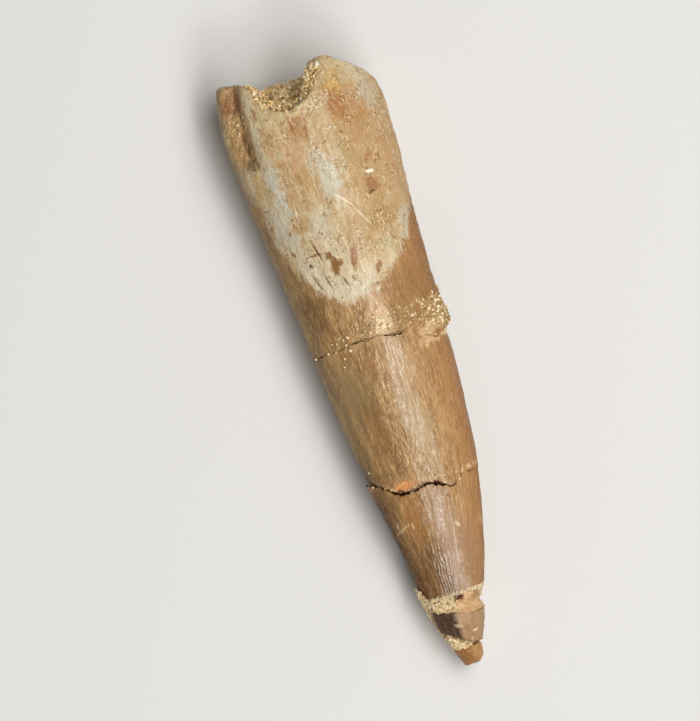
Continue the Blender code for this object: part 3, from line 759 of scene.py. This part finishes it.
def ridgeWave(w):  # the lengthwise ridges near the tip, from -1 to 1
    ridges = crown["ridges"]
    sway = noise(w.skin, 1.6, 2.0, 0.5, 6.0) * 6
    wave = (w.degrees * (2 * math.pi / ridges["spacing"]) + sway).sine()
    return wave * rise(w.distance, ridges["from"], ridges["to"]) * (0.2 + hill(w.degrees, -4.0, 26.0))


def lowerRelief(w):
    raised = ridgeWave(w) * crown["ridges"]["height"]
    middle = middleShift(w, -1.0, 19.0, 43.2, 41.2)
    lower = breakShift(w, breaks["lowerPath"], breaks["lowerGap"], 1.0, 23.0, 45.5, 47.8)
    return enamelRelief(w) + raised, middle + lower


def crownLook(start):
    w = places(start)
    wobble = wobbles(w, 0.8, 1.4, 2.0)
    fineWobble = wobbles(w, 0.25, 0.3, 4.0)
    colour, streak, dash, fleck = crownColour(w)
    colour = paint(colour, w, crown["stains"], wobble, 0.6)
    colour = paint(colour, w, crown["marks"], fineWobble, 0.5)
    grit = noise(w.spot, 0.22, 3.0, 0.65, 18.0)
    wave = ridgeWave(w) * (1 + grit * 3) + dash * 0.8 * rise(w.distance, 44.0, 46.0)
    # painted shade in the troughs between the ridges, painted glints on their crests
    colour = mix(colour, crown["ridgeTroughShade"], rise(wave, -0.2, -1.0) * 0.45)
    colour = mix(colour, crown["ridgePale"], rise(wave, 0.2, 0.9) * 0.7)
    crust = rise(crustMask(w) + grit * 0.3, 0.35, 0.6)
    colour = mix(colour, mix(root["crust"], root["crustPale"], rise(grit, 0.05, 0.35)), crust * 0.9)
    crumbs = rise(noise(w.spot, 0.5, 2.0, 0.6, 24.0), -0.05, 0.15)
    near = hill(edgeOf(w, breaks["middleLine"], 22.0), 0.0, 0.32) * crumbs
    colour = mix(colour, crown["breakPale"], near * 0.8)
    past = edgeOf(w, breaks["upperLine"], 21.0)
    chip = rise(w.y, 3.5, 4.0) * (1 - rise(past, -0.1, 0.15))
    colour = mix(colour, crown["breakPale"], chip * 0.85 + rise(past, 0.3, 0.1) * 0.25)
    colour = mix(colour, crown["edgeCream"], rise(w.distance + grit * 0.4, 49.7, 49.95) * 0.9)
    broken = rise(readAttribute(start, "broken"), 0.3, 0.9)
    # broken faces: partly the dentine's own brown, partly painted shade inside the gap
    face = mix(crown["breakFaceAndGapShade"], crown["edgeCream"], rise(w.distance, 46.0, 47.0))
    colour = mix(colour, face, broken * 0.9)
    height = (dash * 0.05 + fleck * 0.05) * (0.4 + hill(w.degrees, 2.0, 50.0) * 0.7)
    height = height + grit * 0.03 + streak * 0.03 + crust * grit * 0.08 + wave * 0.03
    rough = 0.38 + grit * 0.3 + fleck * 0.2 + crust * 0.3 + broken * 0.3
    polish = hill(w.degrees, 5.0, 66.0) * (0.75 + grit * 1.5) * (1 - crust)
    return {
        "Base Color": colour, "Roughness": rough, "Normal": bumped(height), "IOR": 1.2,
        "Coat Weight": polish * 0.6, "Coat Roughness": 0.16,
    }


crownEnamel = newMaterial("crownEnamel", crownLook)
upperCrown = dress("crown_middle", "crownUpperFragment", middleRelief, crownEnamel, "crown_enamel")
lowerCrown = dress("crown_lower", "crownLowerFragment", lowerRelief, crownEnamel, "crown_enamel")

# Tip
tip = {
    "sand": rgb(214, 184, 134),
    "sandPale": rgb(240, 220, 176),
    "sandDark": rgb(156, 120, 76),
    "filler": rgb(206, 164, 114),
    "fillerDark": rgb(168, 122, 78),
    "fillerPale": rgb(228, 192, 142),
    "flakeDark": rgb(70, 46, 24),
    "flakeLight": rgb(162, 124, 86),
    "flakeDarkStreak": rgb(100, 70, 40),
    "flakeLightStreak": rgb(184, 146, 104),
    "flakeBroken": rgb(120, 88, 54),
    "hole": (50.3, -0.3, 0.3, 0.42, -20, rgb(110, 44, 22), 0.95),  # beside the smooth filling
    "pebbles": 0.3,
    "pebbleHeight": 0.16,
    "amber": rgb(156, 104, 48),
    "amberPale": rgb(186, 138, 80),
    "amberDark": rgb(112, 70, 34),
}


def smoothFiller(w):  # the smooth filling on the upper right of the sandy break
    wobble = noise(w.spot, 0.5, 3.0, 0.6, 51.0) * 0.25
    above = (1 - rise(w.distance, 52.0, 52.3)) * rise(w.up, 0.0, 0.6)
    return rise(w.y + wobble, -0.85, -0.5) * above


def matrixRelief(w):
    grainy = 1 - smoothFiller(w)
    pebbles = (0.45 - cells(w.spot, tip["pebbles"])) * tip["pebbleHeight"] * grainy
    lumps = noise(w.spot, 0.7, 3.0, 0.6, 52.0) * 0.06
    hole = spotMask(w, tip["hole"], wobbles(w, 0.4, 0.2, 55.0), 0.4) * 0.45
    onBed = rise(w.degrees, -66.0, -44.0) * rise(w.distance, 51.3, 51.7)
    sunk = (1 - rise(w.degrees, -62.0, -40.0)) * rise(w.distance, 50.9, 51.6) * 0.14 + 0.06 * grainy
    neck = hill(w.distance, 50.7, 0.7) * rise(w.degrees, 30.0, 70.0) * 0.16
    neck = neck + rise(w.distance, 51.2, 51.7) * rise(w.degrees, 20.0, 50.0) * 0.12
    upper = breakShift(w, breaks["lowerPath"], breaks["lowerGap"], -1.0, 23.0, 51.3, 50.9)
    filler = rise(w.distance, 50.6, 51.3) * (1 - rise(w.distance, 51.75, 51.95)) * 0.26
    towardsTip = rise(w.distance, 53.8, 54.4) * 0.12
    return pebbles + lumps + onBed * 0.16 - sunk - neck - hole, upper + filler + towardsTip


def matrixLook(start):
    w = places(start)
    smooth = smoothFiller(w)
    tone = noise(w.spot, 0.16, 2.0, 0.6, 53.0)
    pebble = cells(w.spot, tip["pebbles"])
    loose = mix(tip["sandPale"], tip["sand"], rise(tone, -0.2, 0.2))
    loose = mix(loose, tip["sandDark"], rise(pebble + tone * 0.3, 0.42, 0.75) * 0.8)
    blotch = noise(w.spot, 0.7, 4.0, 0.7, 54.0)
    filler = mix(tip["filler"], tip["fillerDark"], rise(blotch, -0.02, 0.16) * 0.7)
    filler = mix(filler, tip["fillerPale"], rise(blotch + tone * 0.4, -0.06, -0.26) * 0.8)
    colour = mix(loose, filler, smooth)
    colour = paint(colour, w, (tip["hole"],), wobbles(w, 0.4, 0.2, 55.0), 0.3)
    height = tone * 0.02 + blotch * smooth * 0.12
    return {
        "Base Color": colour, "Roughness": 0.85 - smooth * 0.35, "Normal": bumped(height),
    }


def flakeRelief(w):
    crest = hill(w.y + w.distance * -0.1, -6.5, 0.35) * 0.06
    chipped = noise(w.spot, 0.6, 3.0, 0.6, 61.0) * 0.05
    return crest + chipped * 3 + 0.04, noise(w.spot, 0.5, 3.0, 0.7, 62.0) * 0.3


tip["flakeMarks"] = (
    (53.6, 0.25, 0.1, 0.2, 15, rgb(235, 215, 190), 0.9),
    (54.3, -0.3, 0.12, 0.12, 0, rgb(205, 180, 145), 0.8),
    (52.8, -1.1, 0.14, 0.36, -20, rgb(196, 168, 130), 0.8),
)


def flakeLook(start):
    w = places(start)
    wobble = noise(w.spot, 0.5, 3.0, 0.6, 63.0)
    streak = fibres(w, 2.0, 0.3, 3.0, 0.6, 64.0)
    side = rise(w.y + wobble * 0.2, -1.3, -0.85)
    dark = mix(tip["flakeDark"], tip["flakeDarkStreak"], rise(streak, -0.2, 0.4))
    light = mix(tip["flakeLight"], tip["flakeLightStreak"], rise(streak, -0.2, 0.4))
    colour = paint(mix(dark, light, side), w, tip["flakeMarks"], wobbles(w, 0.3, 0.3, 65.0), 0.4)
    colour = mix(colour, tip["flakeBroken"], readAttribute(start, "broken") * 0.7)
    height = (streak + wobble) * 0.03
    return {
        "Base Color": colour, "Roughness": 0.34 + streak * 0.1, "Normal": bumped(height),
    }


def amberRelief(w):  # the end is worn off almost square
    end = rise(w.distance, 54.9, 55.7)
    squared = end * (rise(w.y, -1.3, -0.3) * 0.42 - (1 - rise(w.y, -1.7, -1.3)) * 0.2)
    return noise(w.spot, 0.9, 3.0, 0.6, 71.0) * 0.15 + end * 0.12, squared


def amberLook(start):
    w = places(start)
    streak = fibres(w, 2.0, 0.4, 3.0, 0.6, 73.0)
    blotch = noise(w.spot, 0.4, 3.0, 0.65, 74.0)
    colour = mix(tip["amber"], tip["amberPale"], rise(w.y + streak * 0.8, -1.2, 0.4))
    colour = mix(colour, tip["amberDark"], rise(blotch, 0.05, 0.3) * 0.5)
    height = (streak + blotch) * 0.02
    return {
        "Base Color": colour, "Roughness": 0.34 + streak * 0.1, "Normal": bumped(height),
    }


sandyMatrix = newMaterial("sandyMatrix", matrixLook)
darkEnamel = newMaterial("darkEnamel", flakeLook)
amberEnamel = newMaterial("amberEnamel", amberLook)
tipMatrix = dress("tip_matrix", "tipMatrix", matrixRelief, sandyMatrix, "sandy_matrix")
dress("enamel_flake", "enamelFlake", flakeRelief, darkEnamel, "dark_enamel")
dress("tip_fragment", "tipFragment", amberRelief, amberEnamel, "amber_enamel", 28.0, 0.75)

# Sand
sand = {
    "filled": 0.9,  # how far the plug rises in the notch
    "density": 4e7,  # more than fit, so that the spacing decides
    "angular": 0.7,
    "sunk": 0.12,  # how far a single grain's middle is above the skin, in grains
    "under": (rgb(130, 98, 58), rgb(190, 152, 98), rgb(230, 196, 138)),  # dark, middle and pale grains
    "gold": (rgb(164, 124, 72), rgb(234, 202, 142), rgb(255, 248, 220)),
    "pale": (rgb(172, 134, 84), rgb(230, 204, 156), rgb(255, 248, 226)),
    # real sand grains by the breaks, coloured near white as painted glints too
    "bright": (rgb(240, 216, 172), rgb(252, 238, 208), rgb(255, 252, 240)),
}


def pulpRelief(w):
    front = 1 - rise(w.distance, 4.0, 6.5)
    lumps = noise(w.spot, 0.7, 2.0, 0.6, 81.0)
    filled = rise(curveOver(w.y, root["notchLine"]) - w.distance, 0.0, 0.9)
    filled = filled * rise(w.up, 1.0, 2.5) * w.outer * sand["filled"]
    pebbles = (0.5 - cells(w.spot, 0.35)) * 0.2
    return pebbles + 0.12 + lumps * 0.2 + filled, lumps * 0.5 + front * 0.3


def grainMaterial(name, colours, roughness):
    dark, middle, pale = colours

    def look(start):
        w = places(start)
        tone = readAttribute(start, "tone")
        fine = noise(w.spot, 0.1, 2.0, 0.6, 82.0)
        stops = ((0.0, dark), (0.35, middle), (0.75, middle), (1.0, pale))
        colour = start.add("ShaderNodeValToRGB", {"stops": stops}, {"Fac": tone + fine * 0.15})
        rough = roughness + fine * 0.08
        return {"Base Color": colour, "Roughness": rough, "Normal": bumped(fine * 0.004)}

    return newMaterial(name, look)


def scatter(name, carrier, where, sizes, spacing, seed):  # loose grains, sunk into a piece's skin
    grains = newObject(name, carrier.data.copy())
    tree, start, inside = geometryTree(name + "Scatter")
    values = {"Mesh": inside, "Distance Min": spacing * mm, "Density Max": sand["density"], "Seed": seed}
    values["Density Factor"] = where(places(start))
    points = start.add("GeometryNodeDistributePointsOnFaces", {"distribute_method": "POISSON"}, values)
    ball = start.add("GeometryNodeMeshIcoSphere", {}, {"Radius": 1.0, "Subdivisions": 2})
    values = {0: (0, 0, 0), 1: (6.28, 6.28, 6.28), "Seed": seed + 1}
    turn = start.add("FunctionNodeRandomValue", {"data_type": "FLOAT_VECTOR"}, values)
    low, high = [s / 2 * mm for s in sizes]
    values = {0: (low, low, low * 0.8), 1: (high, high, high * 0.8), "Seed": seed + 2}
    scale = start.add("FunctionNodeRandomValue", {"data_type": "FLOAT_VECTOR"}, values)
    values = {"Points": points, "Instance": ball, "Rotation": turn, "Scale": scale}
    placed = start.add("GeometryNodeInstanceOnPoints", {}, values)
    values = {2: 0.0, 3: 1.0, "Seed": seed + 3}
    tone = start.add("FunctionNodeRandomValue", {"data_type": "FLOAT"}, values, 1)
    toned = stored(placed, "INSTANCE", "tone", tone)
    loose = start.add("GeometryNodeRealizeInstances", {}, {"Geometry": toned})
    spot = start.add("GeometryNodeInputPosition")
    shape = start.add("ShaderNodeTexNoise", {}, {"Vector": spot, "Scale": 6500.0, "Detail": 0.0}, "Color")
    centred = shape.vectors("SUBTRACT", (0.5, 0.5, 0.5))
    offset = centred.vectors("SCALE", sizes[1] * sand["angular"] * mm, "Scale")
    angular = start.add("GeometryNodeSetPosition", {}, {"Geometry": loose, "Offset": offset})
    start.add("NodeGroupOutput", {}, {"Geometry": angular})
    applied(grains, "NODES", "scatter", node_group=tree)
    grains.data.shade_flat()
    return grains


sand["upperBreak"] = (  # grains by the upper break: a distance, a place across and how thick each is
    (24.35, 0.55, 0.36), (24.95, 0.35, 0.4), (25.1, 0.85, 0.44), (24.55, 1.05, 0.34),
    (25.2, 1.45, 0.34), (23.6, 0.7, 0.24), (24.0, 0.25, 0.22), (25.4, 0.2, 0.26), (24.1, 1.6, 0.24),
    (22.9, 0.95, 0.2), (25.9, 5.3, 0.34), (25.3, 5.9, 0.3), (24.8, 5.3, 0.28), (26.2, 6.1, 0.36),
    (24.3, 6.3, 0.28), (26.02, -5.72, 0.22), (25.91, -4.52, 0.22), (25.22, -3.98, 0.13),
    (25.3, -3.54, 0.15), (25.15, -2.89, 0.17), (25.04, -2.46, 0.25), (25.65, -2.78, 0.2),
    (26.24, -2.57, 0.26), (26.78, -3.26, 0.18), (27.48, -3.54, 0.15), (26.02, -3.87, 0.13),
    (25.26, -0.39, 0.22), (25.22, -1.09, 0.12), (25.04, 0.59, 0.22), (24.5, 0.8, 0.28),
    (25.15, 1.02, 0.34), (25.5, 0.7, 0.18), (23.85, 1.35, 0.2), (23.3, 1.24, 0.15), (24.39, 1.35, 0.16),
    (25.04, 1.67, 0.2), (24.72, 0.37, 0.2), (24.8, 1.1, 0.24), (24.65, 0.6, 0.2), (25.3, 0.5, 0.16),
    (24.17, 2.2, 0.16), (25.15, 2.43, 0.16), (23.85, 2.76, 0.18), (24.93, 3.74, 0.22),
    (24.28, 4.83, 0.16), (23.9, 5.04, 0.15), (23.85, 5.9, 0.18), (24.17, 6.1, 0.16), (26.46, 4.5, 0.16),
    (25.9, 4.7, 0.2), (25.04, 5.6, 0.2), (24.6, 5.9, 0.18), (26.24, 5.26, 0.2), (25.9, 6.05, 0.22),
    (25.48, 3.3, 0.16), (25.48, 4.17, 0.18), (27.2, 5.15, 0.14), (24.2, 1.0, 0.14), (23.5, 0.9, 0.13),
    (24.1, 3.4, 0.13),
)
sand["middleBreak"] = (
    (38.7, -3.9, 0.16), (38.55, -4.5, 0.2), (39.0, -3.5, 0.14), (39.3, -3.0, 0.13), (37.2, -4.44, 0.16),
    (39.1, 0.9, 0.16), (39.45, 1.9, 0.14), (40.35, 2.75, 0.15), (40.2, 3.1, 0.16), (39.5, 3.0, 0.13),
    (39.1, -0.4, 0.14), (39.3, 0.5, 0.13),
)


def placedGrains(name, carriers, table):  # single grains, laid on whatever they lie over
    bpy.context.view_layer.update()
    made = []
    for k, (distance, y, size) in enumerate(table):
        x = distance - tooth["rootEnd"] + 1000 * cadLow.x
        above = Vector((x, y, 40.0)) * mm
        hits = [piece.ray_cast(above, Vector((0, 0, -1))) for piece in carriers]
        height = max(hit[1].z for hit in hits if hit[0])
        turn = (k * 1.3, k * 2.1, k * 0.7)  # each grain lies another way
        scale = (0.5, 0.4 + 0.2 * (k % 3) / 2, 0.36)
        place = (above.x, above.y, height + sand["sunk"] * size * mm)
        bpy.ops.mesh.primitive_ico_sphere_add(
            subdivisions=2, radius=1.0, location=place, rotation=turn, scale=scale)
        grain = bpy.context.object
        grain.scale *= 1.35 * size * mm
        made.append(grain)
    bpy.ops.object.select_all(action="DESELECT")
    for grain in made:
        grain.select_set(True)
    bpy.context.view_layer.objects.active = made[0]
    bpy.ops.object.join()
    joined = bpy.context.object
    joined.name = name
    bpy.ops.object.transform_apply(location=True, rotation=True, scale=True)
    return joined


def onPulp(w):
    return 1 - rise(w.distance, 5.5, 6.5)


def onNotch(w):
    return rise(notchMask(w), 0.2, 0.5)


def onRoot(w):
    sandy = crustMask(w) * rise(noise(w.spot, 0.35, 1.0, 0.5, 93.0), -0.05, 0.25)
    past = w.distance - curveOver(w.y, breaks["upperLine"])
    patches = rise(noise(w.spot, 0.9, 2.0, 0.6, 91.0), 0.0, 0.35)
    band = rise(past, -2.2, -0.6) * rise(w.up, 1.0, 2.5) * patches
    groove = rise(grooveMask(w), 0.4, 0.8) * hill(w.distance, 4.2, 3.4)
    groove = groove * rise(noise(w.spot, 0.6, 2.0, 0.6, 92.0), -0.1, 0.2)
    return sandy * 0.8 + band * 0.1 + groove * 0.4


def onMatrix(w):
    return 1 - smoothFiller(w)


pulpFinish = grainMaterial("granularMatrix", sand["under"], 0.45)
pulp = dress("pulp_matrix", "pulpMatrix", pulpRelief, pulpFinish, "granular_matrix")
goldGrain = grainMaterial("goldenGrains", sand["gold"], 0.3)
sandGrain = grainMaterial("sandGrains", sand["pale"], 0.45)
# near-white grains: sand, with painted glints in their colour
sandGlintGrain = grainMaterial("brightGrains", sand["bright"], 0.25)
for name, carrier, where, sizes, spacing, seed, finish, slot in (
    ("pulpGrains", pulp, onPulp, (0.24, 0.5), 0.25, 1, goldGrain, "granular_matrix"),
    ("notchGrains", rootPiece, onNotch, (0.22, 0.44), 0.23, 5, goldGrain, "granular_matrix"),
    ("rootGrains", rootPiece, onRoot, (0.12, 0.3), 0.18, 11, sandGrain, "sandy_matrix"),
    ("tipGrains", tipMatrix, onMatrix, (0.12, 0.24), 0.15, 21, sandGrain, "sandy_matrix"),
):
    settle(scatter(name, carrier, where, sizes, spacing, seed), finish, slot)
for name, carriers, table in (
    ("upperBreakGrains", (rootPiece, upperCrown), sand["upperBreak"]),
    ("middleBreakGrains", (upperCrown, lowerCrown), sand["middleBreak"]),
):
    settle(placedGrains(name, carriers, table), sandGlintGrain, "sandy_matrix")


# Floor, light and camera
studio = {
    "floorSize": 1200.0,
    "floorColour": rgb(222, 220, 216),
    "photoUp": (-0.94917, 0.31475),  # the picture's upward direction, in X and Y
    "photoRight": (0.31475, 0.94917),
    "middle": (-1.29, -2.88),  # what the middle of the picture shows
    "pictureHeight": 64.9,  # how much of the tooth's own plane the picture takes in
    "planeHeight": 6.0,
    "cameraDistance": 700.0,
    "sensor": 36.0,
    "lights": (  # a name, a place, a size and watts
        ("keyPanel", (40, 150, 500), (560, 240), 2.0),
        ("glintPanel", (38, 146, 490), (260, 60), 0.55),
        ("tipPanel", (330, 60, 470), (160, 110), 0.6),
    ),
    "worldStrength": 0.17,
}


def addFloor():
    bpy.ops.object.select_all(action="DESELECT")
    bpy.ops.mesh.primitive_plane_add(size=studio["floorSize"] * mm)
    floor = bpy.context.object
    floor.name = "floor"
    look = {"Base Color": studio["floorColour"], "Roughness": 0.9}
    floor.data.materials.append(newMaterial("floorPaper", lambda start: look))


def addCamera():
    data = bpy.data.cameras.new("camera")
    data.sensor_fit = "VERTICAL"
    data.sensor_height = studio["sensor"]
    data.lens = studio["sensor"] * studio["cameraDistance"] / studio["pictureHeight"]
    data.clip_start, data.clip_end = 0.01, 10.0
    camera = newObject("camera", data)
    right, up = Vector((*studio["photoRight"], 0)), Vector((*studio["photoUp"], 0))
    camera.matrix_world = Matrix((right, up, right.cross(up))).transposed().to_4x4()
    height = studio["planeHeight"] + studio["cameraDistance"]
    camera.matrix_world.translation = Vector((*studio["middle"], height)) * mm
    bpy.context.scene.camera = camera


def addLight(name, place, size, watts):  # a soft white panel that faces the tooth
    data = bpy.data.lights.new(name, "AREA")
    data.shape = "RECTANGLE"
    data.size, data.size_y = size[0] * mm, size[1] * mm
    data.energy = watts
    light = newObject(name, data)
    light.location = Vector(place) * mm
    light.rotation_euler = (-Vector(place)).to_track_quat("-Z", "Y").to_euler()


def addWorld():
    world = bpy.data.worlds.new("studio")
    bpy.context.scene.world = world
    world.use_nodes = True
    background = world.node_tree.nodes["Background"]
    background.inputs["Color"].default_value = (1.0, 1.0, 1.0, 1.0)
    background.inputs["Strength"].default_value = studio["worldStrength"]


addFloor()
addCamera()
for light in studio["lights"]:
    addLight(*light)
addWorld()
bpy.context.scene.view_settings.view_transform = "Standard"
print("studio set")
